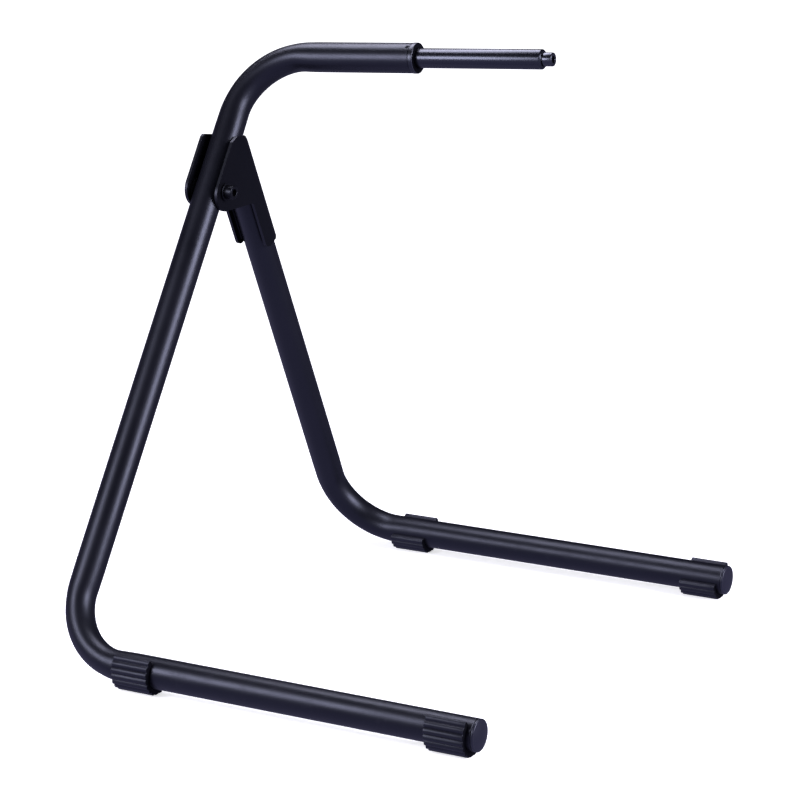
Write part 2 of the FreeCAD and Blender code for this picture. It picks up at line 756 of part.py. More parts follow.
def bracket_welds():
    """Weld beads between the side tube and the bracket: one round the wrap's lower end, one inside each
    cheek."""
    gap = size("gap_half")
    outer = gap + size("sheet") - size("bead_sink")
    skin = size("tube") / 2
    low = size("bracket_low")
    bead = size("bead")
    ring = Part.makePolygon([FreeCAD.Vector(0, skin, low), FreeCAD.Vector(0, outer, low),
                             FreeCAD.Vector(0, skin, low - bead), FreeCAD.Vector(0, skin, low)])
    round_bead = Part.Face(ring).revolve(FreeCAD.Vector(), Z_AXIS, size("bead_angle"))
    round_bead.rotate(FreeCAD.Vector(), Z_AXIS, -size("bead_angle") / 2)
    beads = [round_bead]
    height = size("bracket_step") + size("right_lift") - low
    front = -size("bead_front")
    for side in (1, -1):
        start = FreeCAD.Vector(side * (skin - size("bead_sink")), front, low + size("bead_inset"))
        rod = Part.makeCylinder(bead, height - 2 * size("bead_inset"), start)
        tube = Part.makeCylinder(skin, height, FreeCAD.Vector(0, 0, low))
        cheek_start = FreeCAD.Vector(gap if side > 0 else -gap - 2 * bead, front - 2 * bead, low)
        cheek = Part.makeBox(2 * bead, 4 * bead, height, cheek_start)
        beads.append(rod.cut(tube).cut(cheek))
    welds = doc.addObject("Part::Feature", "bracket_welds")
    welds.Label = "bracket_welds"
    welds.Shape = Part.makeCompound(beads)
    welds.Placement = side_frame()
    pieces.append(welds)


def check_and_write():
    doc.recompute()
    for item in doc.Objects:
        if "Invalid" in item.State or "Error" in item.State:
            raise RuntimeError(f"{item.Name} failed: {item.State}")
    os.makedirs("parts", exist_ok=True)
    box = FreeCAD.BoundBox()
    for piece in pieces:
        shape = piece.Shape
        if shape.isNull() or not shape.isValid():
            raise RuntimeError(f"{piece.Label} has no valid shape")
        box.add(shape.BoundBox)
        shape.exportStep(f"parts/{piece.Label}.step")
        print(f"{piece.Label:20s} solids {len(shape.Solids)}  volume {shape.Volume:9.1f}")
    print("whole:", box)


fill_sheet()
main_tube()
side_tube()
feet()
arm_bush()
bush_screw()
spindle()
pivot()
hinge_bracket()
bracket_welds()
check_and_write()
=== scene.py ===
"""Folding bike stand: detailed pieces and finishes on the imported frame.

Dimensions are in millimetres and degrees, the studio in metres.  Each piece is built in the
frame of the tube that it sits on, then scaled to metres.  Seen from the front, the main leg is
on the -Y side, and the feet and the arm point along +X.
"""
import math

import bmesh
import bpy
from mathutils import Matrix, Vector


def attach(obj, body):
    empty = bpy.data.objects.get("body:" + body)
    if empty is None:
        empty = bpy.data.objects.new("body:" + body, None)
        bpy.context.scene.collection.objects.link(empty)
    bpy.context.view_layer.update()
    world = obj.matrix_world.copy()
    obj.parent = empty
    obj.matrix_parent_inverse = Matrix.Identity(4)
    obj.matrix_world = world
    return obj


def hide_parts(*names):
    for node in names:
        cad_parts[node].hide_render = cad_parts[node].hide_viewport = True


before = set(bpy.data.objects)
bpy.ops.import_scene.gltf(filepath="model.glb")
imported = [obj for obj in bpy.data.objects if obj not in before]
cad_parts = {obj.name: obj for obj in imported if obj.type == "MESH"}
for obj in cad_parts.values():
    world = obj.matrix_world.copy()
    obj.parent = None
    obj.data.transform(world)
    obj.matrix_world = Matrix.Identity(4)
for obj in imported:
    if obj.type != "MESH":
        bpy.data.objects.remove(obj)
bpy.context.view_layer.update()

MM = 0.001
TINY = 1e-6
FLAT_END = 0.98  # a face looks along an axis if its normal has this much of it
ROUND_STEPS = 5  # of a turned piece's rounded corners
CUTTER_REACH = 30  # to each side of the pivot

# Frame tubes; lengths are measured to the corners where the centre lines would meet.
TUBE = 11.1  # outer radius
WALL = 1.5
TUBE_LIP = 0.3  # rounding of the ends
TUBE_SEGMENTS = 96
BEND = 51.0  # radius of the centre line
FOOT_HEIGHT = 15.1  # of the feet's centre lines
SETBACK = 159.25  # of both legs behind the origin
HALF_SPREAD = 196.1  # from the origin to each foot
MAIN_LEAN = 33.37  # each leg's tilt towards the other
SIDE_LEAN = 26.49
MAIN_FOOT = 329.5
SIDE_FOOT = 337.5
MAIN_LEG = 472.0
SIDE_LEG = 354.0
ARM_TUBE = 136.4
ARM_RISE = 3.07  # degrees
PIVOT_UP = 361.2  # along the main leg
PIVOT_HOLE = 5.0

# Bends are squeezed in their plane and bulge across it, as shares of the radius.
FLATTEN = 0.085
BULGE = 0.02
FLATTEN_LEAD = 7.0  # how far before a bend it starts
FLATTEN_RUN = 21.0  # length over which it builds up

# Distances between a tube's rings; they are closer near the holes.
LONG_STEP = 12.0
ARM_STEP = 8.0
PIVOT_REACH = 12.0
PIVOT_STEP = 1.5
MOUTH_REACH = 8.0
MOUTH_STEP = 0.5
BEND_STEP = 2.0  # degrees

# Foot pads.
PAD_LENGTH = 29.0
PAD_RADIUS = 15.7
PAD_SPAN = 110.0  # each way round the tube
PAD_LIP = 2.0  # rounding along the two lips
PAD_EDGE = 0.4  # rounding of the ends
PAD_HUG = 0.02  # gap to the tube
PAD_STEPS = 264
PAD_START = 51.8  # of the inner pads, from the foot's corner
PAD_INSET = 3.3  # of the outer pads, from the tube's end
RIB_PITCH = 18.4  # degrees
RIB_DEPTH = 1.25
RIB_POWER = 0.8  # below 1 the crests are broad and the grooves narrow
SOLE_UPRIGHT = 0.3  # the flat sole is cut only where the rubber faces down by this much

# Foot caps.
CAP_HEAD = 3.6
CAP_STEM = 12.0  # length inside the tube
CAP_HOLLOW = 7.4  # radius
CAP_FLOOR = 1.0  # how far the hollow stops short of the tube's end
CAP_GAP = 0.15  # between the head and the tube's end
CAP_CHAMFER = 0.35
CAP_SIDE = 2.1  # where the head's straight side ends
CAP_FACE = 9.8  # radius of the dome
CAP_DOME = 1.4  # height of the dome
CAP_RINGS = 8

# Arm end.
FLANGE = 3.6
FLANGE_RADIUS = 11.3
FLANGE_GAP = 0.12  # between the flange and the tube's end
BUSH_STEM = 32.0
# The flange's rim gets a painted highlight; these two pick the faces that carry it.
HIGHLIGHT_RIM_WIDTH = 1.0  # how far inside the tube's radius the bright rim reaches
HIGHLIGHT_RIM_SLOPE = 0.2  # how much the rim's faces look towards the free end, at least
SCREW_AT = 134.4  # along the arm
SCREW_TURN = 70.5  # degrees round it
SCREW_RADIUS = 1.25
SCREW_SEGMENTS = 36
SCREW_TIP = 8.1  # from the arm's axis
SCREW_PLAY = 0.03
SCREW_SUNK = 0.45
SCREW_SOCKET = 1.2  # both its flats and its depth
FUNNEL = 0.5  # countersink of the screw's hole

# Spindle; starts and ends are measured along the arm, the rest are radii.
SLEEVE = 7.25
SLEEVE_BORE = 4.08
SLEEVE_CHAMFER = 1.2
SLEEVE_START = 92.0
SLEEVE_END = 240.2
JOURNAL = 7.0
JOURNAL_END = 140.3
FIT = 0.06  # between the journal and the bush
SHANK = 4.0
SHANK_START = 70.0
SHANK_CHAMFER = 0.6
HEAD_START = 240.5
HEAD_END = 247.7
HEAD = 5.0
HEAD_SOCKET = (5.0, 4.0)  # across the flats, depth

# Pivot.
BOLT = 3.0
BOLT_HEAD = 5.2
BOLT_RISE = 6.4
BOLT_TAIL = 0.4
BOLT_CHAMFER = 0.6
BOLT_SOCKET = (5.2, 3.5)  # across the flats, depth
WASHER = 1.6
WASHER_RADIUS = 6.6
NUT_FLATS = 10.0
NUT_HEIGHT = 3.2
HOLE_PLAY = 0.15

# Hinge bracket; heights are measured along the side leg.
GAP_HALF = 11.5  # from the middle to a cheek's inner side
SHEET = 2.2
SHEET_EDGE = 0.5  # rounding of the sheet's edges
MIDDLE = GAP_HALF + SHEET / 2
QUARTER = MIDDLE * math.pi / 2  # from the wrap's middle to where a cheek starts
BEND_CUTS = 20  # strips in each quarter of the wrap
BRACKET_LOW = 284.0
BRACKET_STEP = 328.9  # where the cheeks start to widen
CHEEK_EDGE = 10.7  # how far their low part reaches past the side leg's axis
BOSS = 12.7  # radius of the cheeks' round part
BOSS_STEPS = 30
CHEEK_TOP = 36.5  # from the round part's middle, along the main leg
RIGHT_LIFT = -2.3  # how much higher a cheek's outline sits than the pivot
LEFT_LIFT = 1.0
RIGHT_TOP = 5.5  # how far before the side leg's axis a cheek's top ends
LEFT_TOP = 10.5
TOP_SIDE = 379.4  # height of the wrap's top edge, where it leaves the cheeks
TOP_BACK = 370.0  # the same at the wrap's middle
LOW_ROUND = 5.5
STEP_ROUND = 3.0
TOP_ROUND = 3.5
NECK_ROUND = 2.0
NOTCH_ROUND = 0.5  # of the notch where the wrap's top edge meets the main leg
NOTCH_WIDTH = 0.6
STOP_GAP = 0.4  # between the wrap and the main leg
OVERCUT = 0.2  # how far past the sheet TOP_BACK is measured
# Distances out from the side leg's axis at which the wrap's top edge has points.
TOP_SAMPLES = (0.0, 1.0, 2.5, 4.0)
WRAP_SAMPLES = (7.0, 8.0, 9.2, 10.2, 11.0, 11.6, 12.1, 12.4, MIDDLE)

# Welds.
WELD_STEPS = 160
WELD_PITCH = 1.7
WELD_RIPPLE = 0.13
WELD_SEGMENTS = 14
WELD_TAPER = 3.0  # steps over which a bead's end is rounded
LOW_WELD = 1.55  # radius
LOW_WELD_HALF = 72  # degrees each way from the wrap's middle
LOW_WELD_DROP = 0.2  # below the bracket's low edge
LOW_WELD_SINK = 0.6
SIDE_WELD = 1.45  # radius
SIDE_WELD_BACK = 5.6  # past the side leg's axis, on the cheek's side
SIDE_WELD_INSET = 4  # from both ends of the cheek's low part
SIDE_WELD_SINK = 0.1


# Frames, in millimetres.


def shift(x=0.0, y=0.0, z=0.0):
    return Matrix.Translation((x, y, z))


def turn(angle, axis):
    return Matrix.Rotation(math.radians(angle), 4, axis)


MAIN_CORNER = shift(-SETBACK, -HALF_SPREAD, FOOT_HEIGHT)
SIDE_CORNER = shift(-SETBACK, HALF_SPREAD, FOOT_HEIGHT)
MAIN = MAIN_CORNER @ turn(-MAIN_LEAN, "X")
SIDE = SIDE_CORNER @ turn(SIDE_LEAN, "X")
ARM = MAIN @ shift(z=MAIN_LEG) @ turn(-ARM_RISE, "Y")
PIVOT = MAIN @ shift(z=PIVOT_UP)
SCREW = ARM @ (shift(x=SCREW_AT) @ turn(SCREW_TURN, "X") @ turn(-90, "Y"))


# Materials.


class Nodes:
    """Short way to add and join the nodes of a material or the world."""

    def __init__(self, owner, shader="Principled BSDF", coordinates="Object"):
        owner.use_nodes = True
        self.tree = owner.node_tree
        self.shader = self.tree.nodes[shader]
        self.where = self.add("ShaderNodeTexCoord").outputs[coordinates]

    def add(self, kind, **settings):
        node = self.tree.nodes.new(kind)
        for name, value in settings.items():
            setattr(node, name, value)
        return node

    def join(self, source, target):
        self.tree.links.new(source, target)

    def split(self):
        """Coordinates apart: sockets X, Y and Z."""
        node = self.add("ShaderNodeSeparateXYZ")
        self.join(self.where, node.inputs[0])
        return node.outputs

    def noise(self, scale, detail=3.0, rough=0.55, stretch=None):
        """Noise from 0 to 1; scale is in features per metre."""
        spot = self.where
        if stretch:
            mapping = self.add("ShaderNodeMapping")
            mapping.inputs["Scale"].default_value = stretch
            self.join(spot, mapping.inputs["Vector"])
            spot = mapping.outputs["Vector"]
        node = self.add("ShaderNodeTexNoise")
        node.inputs["Scale"].default_value = scale
        node.inputs["Detail"].default_value = detail
        node.inputs["Roughness"].default_value = rough
        self.join(spot, node.inputs["Vector"])
        return node.outputs["Fac"]

    def ramp(self, source, stops):
        """Colour ramp through stops of (position, colour)."""
        node = self.add("ShaderNodeValToRGB")
        bar = node.color_ramp
        while len(bar.elements) < len(stops):
            bar.elements.new(0.5)
        for element, (spot, colour) in zip(bar.elements, stops):
            element.position = spot
            element.color = (*colour, 1.0)
        self.join(source, node.inputs["Fac"])
        return node.outputs["Color"]

    def span(self, source, low, high, start=0.3, end=0.7):
        """Source's values from start to end, spread from low to high."""
        node = self.add("ShaderNodeMapRange")
        for socket, value in (("From Min", start), ("From Max", end),
                              ("To Min", low), ("To Max", high)):
            node.inputs[socket].default_value = value
        self.join(source, node.inputs["Value"])
        return node.outputs["Result"]

    def blend(self, factor, one, two):
        """Colour between two sockets or plain colours."""
        node = self.add("ShaderNodeMix", data_type="RGBA")
        self.join(factor, node.inputs[0])
        for socket, value in ((6, one), (7, two)):
            if isinstance(value, tuple):
                node.inputs[socket].default_value = (*value, 1.0)
            else:
                self.join(value, node.inputs[socket])
        return node.outputs[2]

    def maths(self, operation, one, two):
        node = self.add("ShaderNodeMath", operation=operation)
        for socket, value in enumerate((one, two)):
            if isinstance(value, float):
                node.inputs[socket].default_value = value
            else:
                self.join(value, node.inputs[socket])
        return node.outputs[0]

    def shade(self, source, dark, light):
        """Colour that follows the middle of a noise's values."""
        return self.ramp(source, [(0.3, dark), (0.7, light)])

    def finish(self, colour, rough, height, depth):
        """Join the shader's colour and roughness, and a bump depth metres high."""
        bump = self.add("ShaderNodeBump")
        bump.inputs["Distance"].default_value = depth
        bump.inputs["Strength"].default_value = 1.0
        self.join(height, bump.inputs["Height"])
        self.join(colour, self.shader.inputs["Base Color"])
        self.join(rough, self.shader.inputs["Roughness"])
        self.join(bump.outputs["Normal"], self.shader.inputs["Normal"])


# Noise scales, in features per metre.
PAINT_DRIFT = 18.0
PAINT_RUB = 70.0
PAINT_PEEL = 900.0
STEEL_DRIFT = 40.0
PLASTIC_DRIFT = 55.0

RING_DEPTH = 0.000004
WORN_ABOVE = 0.56  # noise at which a rubbed patch starts
WORN_FULL = 0.66  # and at which it is rubbed most
WORN_LOW = 0.004  # metres above the floor, up to which the paint is rubbed most
WORN_HIGH = 0.03  # and from which it isn't rubbed
WORN_DULLER = 0.12
PAINT_TINT = (0.80, 0.84, 1.0, 1.0)
STEEL_TINT = (0.80, 0.85, 1.0, 1.0)
PLASTIC_TINT = (0.82, 0.86, 1.0, 1.0)


def new_material(name, **constants):
    """Material whose shader has constants on its sockets, named with _ for a space."""
    material = bpy.data.materials.new(name)
    n = Nodes(material)
    for socket, value in constants.items():
        n.shader.inputs[socket.replace("_", " ")].default_value = value
    return material, n


def powder_coat(name, dark, light, rough, peel, level=0.4):
    """Baked powder paint: orange peel, slow colour drift and dull rubbed patches low down."""
    material, n = new_material(name, IOR=1.5, Specular_IOR_Level=level, Specular_Tint=PAINT_TINT)
    drift = n.noise(PAINT_DRIFT, 4.0)
    rub = n.noise(PAINT_RUB, 6.0, 0.7)
    fine = n.noise(PAINT_PEEL, 2.0)
    low_down = n.span(n.split()["Z"], 1.0, 0.0, WORN_LOW, WORN_HIGH)
    worn = n.maths("MULTIPLY", n.span(rub, 0.0, 1.0, WORN_ABOVE, WORN_FULL), low_down)
    rubbed = tuple(c * 1.6 + 0.004 for c in light)
    gloss = n.maths("ADD", n.span(drift, rough - 0.02, rough + 0.03), n.span(rub, -0.015, 0.025))
    gloss = n.maths("ADD", gloss, n.maths("MULTIPLY", worn, WORN_DULLER))
    n.finish(n.blend(worn, n.shade(drift, dark, light), rubbed), gloss, fine, peel)
    return material


def turned_steel(name, colour, rough, level, along=None):
    """Turned and blackened steel: fine rings round the axis that show in the gloss."""
    material, n = new_material(name, Specular_IOR_Level=level, Specular_Tint=STEEL_TINT)
    drift = n.noise(STEEL_DRIFT, 4.0)
    rings = n.noise(STEEL_DRIFT, 3.0, 0.6, stretch=along)
    darker = tuple(c * 0.8 for c in colour)
    n.finish(n.shade(drift, darker, colour), n.span(rings, rough - 0.03, rough + 0.05),
             rings, RING_DEPTH)
    return material


def moulded(name, dark, light, rough, grain, depth, level=0.4):
    """Moulded plastic or rubber: fine sparked grain and a slow change of shade."""
    material, n = new_material(name, Specular_IOR_Level=level, Specular_Tint=PLASTIC_TINT)
    drift = n.noise(PLASTIC_DRIFT, 4.0)
    fine = n.noise(grain, 3.0)
    n.finish(n.shade(drift, dark, light), n.span(fine, rough - 0.04, rough + 0.05), fine, depth)
    return material


FINISH = {
    "frame_paint": powder_coat(
        "Frame_powder_coat", (0.0024, 0.0024, 0.0044), (0.0032, 0.0032, 0.0058),
        rough=0.385, peel=0.000008),
    "bracket_paint": powder_coat(
        "Bracket_powder_coat", (0.0022, 0.0022, 0.0034), (0.0030, 0.0030, 0.0046),
        rough=0.44, peel=0.000014, level=0.12),
    # Lighter, glossier copy of the bracket paint for the sheet's rounded edges: a painted
    # highlight.
    "bracket_edge_highlight": powder_coat(
        "Bracket_edge_painted_highlight", (0.0050, 0.0050, 0.0070), (0.0070, 0.0070, 0.0100),
        rough=0.36, peel=0.000010, level=0.55),
    # Slightly lighter, glossier copy for the sheet's cut rims: a faint painted highlight.
    "bracket_rim_highlight": powder_coat(
        "Bracket_rim_painted_highlight", (0.0026, 0.0026, 0.0040), (0.0036, 0.0036, 0.0054),
        rough=0.42, peel=0.000014, level=0.34),
    "spindle_finish": turned_steel(
        "Spindle_plating", (0.0034, 0.0035, 0.0062), rough=0.272, level=0.58,
        along=(90.0, 1.0, 1.0)),
    "spindle_steel": turned_steel(
        "Spindle_steel", (0.0050, 0.0052, 0.0085), rough=0.26, level=0.75,
        along=(60.0, 1.0, 1.0)),
    "black_steel": turned_steel(
        "Black_oxide_steel", (0.0026, 0.0026, 0.0038), rough=0.34, level=0.22),
    "bush_plastic": moulded(
        "Bush_nylon", (0.0024, 0.0024, 0.0036), (0.0034, 0.0034, 0.0050),
        rough=0.34, grain=1500.0, depth=0.000006, level=0.55),
    # Lighter, glossier copy of the nylon for the flange's rim: a painted highlight.
    "bush_rim_highlight": moulded(
        "Bush_rim_painted_highlight", (0.0100, 0.0100, 0.0140), (0.0140, 0.0140, 0.0190),
        rough=0.34, grain=1500.0, depth=0.000006, level=1.0),
    # Darker, duller copy of the nylon for the flange's outer face: painted shade.
    "bush_face_shade": moulded(
        "Bush_face_painted_shade", (0.0016, 0.0016, 0.0026), (0.0022, 0.0022, 0.0036),
        rough=0.50, grain=1500.0, depth=0.000006, level=0.08),
    "spacer_nylon": moulded(
        "Spacer_nylon", (0.006, 0.006, 0.008), (0.008, 0.008, 0.010),
        rough=0.45, grain=1200.0, depth=0.000006),
    "pad_rubber": moulded(
        "Pad_rubber", (0.0045, 0.0045, 0.0080), (0.0065, 0.0065, 0.0115),
        rough=0.46, grain=1100.0, depth=0.000014),
    # Darker, duller copy of the rubber for the pads' end faces: painted shade.
    "pad_end_shade": moulded(
        "Pad_end_painted_shade", (0.0018, 0.0018, 0.0030), (0.0026, 0.0026, 0.0042),
        rough=0.60, grain=1100.0, depth=0.000014, level=0.08),
    "cap_plastic": moulded(
        "Cap_plastic", (0.0090, 0.0090, 0.0160), (0.0120, 0.0120, 0.0210),
        rough=0.40, grain=1300.0, depth=0.000006, level=0.5),
}


# Mesh helpers.


def towards(angle):
    """Unit vector at an angle in radians."""
    return Vector((math.cos(angle), math.sin(angle)))


def rounded(corners, steps=6, closed=True):
    """Outline of 2-D points in which each corner (x, y, rounding) is an arc."""
    outline = []
    for number, (x, y, rounding) in enumerate(corners):
        here = Vector((x, y))
        if not rounding or not closed and number in (0, len(corners) - 1):
            outline.append(here)
            continue
        before = (Vector(corners[number - 1][:2]) - here).normalized()
        after = (Vector(corners[(number + 1) % len(corners)][:2]) - here).normalized()
        half = before.angle(after) / 2
        centre = here + (before + after).normalized() * (rounding / math.sin(half))
        first = here + before * (rounding / math.tan(half)) - centre
        last = here + after * (rounding / math.tan(half)) - centre
        sweep = math.atan2(first.x * last.y - first.y * last.x, first.dot(last))
        for step in range(steps + 1):
            outline.append(centre + Matrix.Rotation(sweep * step / steps, 2) @ first)
    return outline


def hexagon(flats):
    """Radius of a hexagon at an angle, from its size across the flats."""
    def radius(angle):
        return flats / 2 / math.cos((angle + math.pi / 6) % (math.pi / 3) - math.pi / 6)
    return radius


def bridge(bm, one, two):
    """Faces between two rings; a ring may be one point repeated."""
    for number in range(len(one)):
        corners = [one[number - 1], one[number], two[number], two[number - 1]]
        corners = [corner for place, corner in enumerate(corners)
                   if corner not in corners[:place]]
        bm.faces.new(corners)


def lathe(profile, segments=72, closed=False):
    """Surface round the X axis through (along, radius); a radius may be 0 or a function."""
    bm = bmesh.new()
    rings = []
    for along, radius in profile:
        if radius == 0:
            rings.append([bm.verts.new((along, 0, 0))] * segments)
            continue
        ring = []
        for number in range(segments):
            angle = 2 * math.pi * number / segments
            reach = radius(angle) if callable(radius) else radius
            ring.append(bm.verts.new((along, reach * math.cos(angle), reach * math.sin(angle))))
        rings.append(ring)
    for one, two in zip(rings, rings[1:] + rings[:1] if closed else rings[1:]):
        bridge(bm, one, two)
    return bm


def rod(start, end, radius):
    return lathe([(start, 0), (start, radius), (end, radius), (end, 0)], segments=48)


def on_axis(outline):
    """Points of an outline as a lathe's profile."""
    return [(spot.x, spot.y if spot.y > TINY else 0) for spot in outline]


def add_object(name, bm, place):
    """Object from a mesh in millimetres, in the frame place."""
    bmesh.ops.recalc_face_normals(bm, faces=bm.faces)
    bm.transform(Matrix.Scale(MM, 4) @ place)
    mesh = bpy.data.meshes.new(name)
    bm.to_mesh(mesh)
    bm.free()
    piece = bpy.data.objects.new(name, mesh)
    bpy.context.scene.collection.objects.link(piece)
    return piece


def build(name, bm, place, body, nodes, slot, sharp=32.0):
    """Piece that stands for CAD nodes and rides on a body."""
    piece = add_object(name, bm, place)
    piece.data.shade_smooth()
    piece.data.set_sharp_from_angle(angle=math.radians(sharp))
    piece.data.materials.append(FINISH[slot])
    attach(piece, body)
    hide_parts(*nodes)
    return piece


def spun(name, corners, place, body, node, slot):
    """Ring turned from a closed outline with rounded corners."""
    mesh = lathe(on_axis(rounded(corners, ROUND_STEPS)), segments=96, closed=True)
    return build(name, mesh, place, body, [node], slot, sharp=40.0)


def face_ends(piece, way, slot):
    """Give another finish to the flat faces that look along way, or against it; here it is
    painted shade.
    """
    piece.data.materials.append(FINISH[slot])
    for face in piece.data.polygons:
        if abs(face.normal.dot(way)) > FLAT_END:
            face.material_index = 1


def cut(piece, *tools):
    """Cut piece with other objects; finish_mesh applies this."""
    for tool in tools:
        step = piece.modifiers.new("Cut", "BOOLEAN")
        step.operation = "DIFFERENCE"
        step.solver = "EXACT"
        step.object = tool


def finish_mesh(piece, tools):
    """Apply the piece's modifiers, then drop the tools that cut it."""
    bpy.context.view_layer.update()
    graph = bpy.context.evaluated_depsgraph_get()
    mesh = bpy.data.meshes.new_from_object(piece.evaluated_get(graph))
    bm = bmesh.new()
    bm.from_mesh(mesh)
    bmesh.ops.dissolve_degenerate(bm, edges=bm.edges, dist=0.0005 * MM)
    bm.to_mesh(mesh)
    bm.free()
    piece.modifiers.clear()
    piece.data = mesh
    mesh.name = piece.name
    for tool in tools:
        bpy.data.objects.remove(tool)


# Frame tubes.


def route(start, runs):
    """Stations along a tube in its XZ plane: (centre, outer side, weight of the flattening).

    It starts at the foot's end.  A run is (length, step), or (turn to the right,) for a bend.
    """
    spot, heading, travelled = Vector((start, 0.0)), 180.0, 0.0
    marks, bends = [], []

    def mark():
        way = math.radians(heading)
        marks.append((spot.copy(), Vector((-math.sin(way), math.cos(way))), travelled))

    def ease(value):
        value = min(max(value, 0.0), 1.0)
        return value * value * (3 - 2 * value)

    def weight(at):
        return max(ease((at - first + FLATTEN_LEAD) / FLATTEN_RUN)
                   * ease((last + FLATTEN_LEAD - at) / FLATTEN_RUN) for first, last in bends)

    mark()
    for run in runs:
        if len(run) == 2:
            length, step = run
            pieces = max(1, round(length / step))
            for _ in range(pieces):
                spot += towards(math.radians(heading)) * (length / pieces)
                travelled += length / pieces
                mark()
            continue
        pieces = round(run[0] / BEND_STEP)
        stride = math.radians(run[0] / pieces)
        bends.append((travelled, travelled + BEND * math.radians(run[0])))
        for _ in range(pieces):
            way = math.radians(heading) - stride / 2
            spot += towards(way) * (2 * BEND * math.sin(stride / 2))
            heading -= math.degrees(stride)
            travelled += BEND * stride
            mark()
    return [(centre, side, weight(at)) for centre, side, at in marks]


def tube_mesh(stations):
    """Hollow tube along stations, with slightly rounded ends."""
    bm = bmesh.new()

    def ring(centre, side, weight, radius):
        across = Vector((0, radius * (1 + BULGE * weight), 0))
        out = Vector((side.x, 0, side.y)) * radius * (1 - FLATTEN * weight)
        middle = Vector((centre.x, 0, centre.y))
        angles = [2 * math.pi * number / TUBE_SEGMENTS for number in range(TUBE_SEGMENTS)]
        return [bm.verts.new(middle + out * math.cos(a) + across * math.sin(a)) for a in angles]

    def moved(station, other):
        way = (other[0] - station[0]).normalized()
        return station[0] + way * TUBE_LIP, station[1], station[2]

    first, last = stations[0], stations[-1]
    rings = [ring(*first, TUBE - TUBE_LIP), ring(*moved(first, stations[1]), TUBE)]
    rings += [ring(*station, TUBE) for station in stations[1:-1]]
    rings += [ring(*moved(last, stations[-2]), TUBE), ring(*last, TUBE - TUBE_LIP)]
    rings += [ring(*last, TUBE - WALL)]
    rings += [ring(*station, TUBE - WALL) for station in reversed(stations[1:-1])]
    rings += [ring(*first, TUBE - WALL)]
    for one, two in zip(rings, rings[1:] + rings[:1]):
        bridge(bm, one, two)
    return bm


def frame_tubes():
    """Both tubes; the main one has a hole for the pivot and a countersunk one for the screw."""
    run_in = BEND * math.tan(math.radians(90 - ARM_RISE) / 2)
    below = PIVOT_UP - PIVOT_REACH - BEND
    above = MAIN_LEG - run_in - PIVOT_UP - PIVOT_REACH
    arm = ARM_TUBE - run_in - MOUTH_REACH
    main_runs = [
        (MAIN_FOOT - BEND, LONG_STEP), (90.0,),
        (below, LONG_STEP), (2 * PIVOT_REACH, PIVOT_STEP), (above, LONG_STEP), (90.0 - ARM_RISE,),
        (arm, ARM_STEP), (MOUTH_REACH, MOUTH_STEP)]
    side_runs = [(SIDE_FOOT - BEND, LONG_STEP), (90.0,), (SIDE_LEG - BEND, LONG_STEP)]

    main = build("Main_tube", tube_mesh(route(MAIN_FOOT, main_runs)), MAIN,
                 "main_frame", ["main_tube"], "frame_paint")
    pivot_hole = add_object("cutter", rod(-2 * TUBE, 2 * TUBE, PIVOT_HOLE), PIVOT)
    wide = SCREW_RADIUS + FUNNEL
    screw_hole = add_object("cutter", lathe([
        (SCREW_TIP, 0), (SCREW_TIP, SCREW_RADIUS), (TUBE - FUNNEL, SCREW_RADIUS),
        (TUBE + FUNNEL, wide), (TUBE + 2, wide), (TUBE + 2, 0)], SCREW_SEGMENTS), SCREW)
    cut(main, pivot_hole, screw_hole)
    finish_mesh(main, [pivot_hole, screw_hole])
    build("Side_tube", tube_mesh(route(SIDE_FOOT, side_runs)), SIDE,
          "side_frame", ["side_tube"], "frame_paint")


# Feet.


def pad_outer(angle, tilt, inset):
    """Outer radius of a pad at an angle from its middle: ribs, rounded lips and a flat sole."""
    crest = abs(math.sin(math.pi * angle / RIB_PITCH))
    radius = PAD_RADIUS - RIB_DEPTH * (1 - crest ** RIB_POWER)
    from_lip = max(math.radians(PAD_SPAN - abs(angle)) * PAD_RADIUS, 0.0)
    if from_lip < PAD_LIP:
        lip = PAD_RADIUS - PAD_LIP + math.sqrt(PAD_LIP ** 2 - (PAD_LIP - from_lip) ** 2)
        radius = min(radius, lip)
    upright = math.cos(math.radians(angle + tilt))
    if upright > SOLE_UPRIGHT:
        radius = min(radius, FOOT_HEIGHT / upright)
    return radius - inset


def foot_pad(name, corner, tilt, start, body, node):
    """Ribbed rubber clip; tilt turns its middle from straight down towards -Y."""
    quarter = [math.radians(a) for a in (0, 22.5, 45, 67.5, 90)]
    ends = [(PAD_EDGE * (1 - math.cos(a)), PAD_EDGE * (1 - math.sin(a))) for a in quarter]
    sections = [(start + along, inset) for along, inset in ends]
    sections += [(start + PAD_LENGTH * share, 0.0) for share in (0.25, 0.5, 0.75)]
    sections += [(start + PAD_LENGTH - along, inset) for along, inset in reversed(ends)]
    bm = bmesh.new()
    rings = []
    for along, inset in sections:
        span = PAD_SPAN - math.degrees(inset / PAD_RADIUS)
        angles = [span * (2 * step / PAD_STEPS - 1) for step in range(PAD_STEPS + 1)]
        section = [(pad_outer(a * PAD_SPAN / span, tilt, inset), a) for a in angles]
        section += [(TUBE + PAD_HUG, a) for a in reversed(angles)]
        ring = []
        for radius, angle in section:
            way = math.radians(angle + tilt)
            ring.append(bm.verts.new((along, -radius * math.sin(way), -radius * math.cos(way))))
        rings.append(ring)
    for one, two in zip(rings, rings[1:]):
        bridge(bm, one, two)
    for ring in (rings[0], rings[-1]):
        for step in range(PAD_STEPS):
            bm.faces.new((ring[step], ring[step + 1], ring[-2 - step], ring[-1 - step]))
    pad = build(name, bm, corner, body, [node], "pad_rubber", sharp=50.0)
    # The end faces get the darker copy of the rubber: painted shade.
    face_ends(pad, Vector((1, 0, 0)), "pad_end_shade")


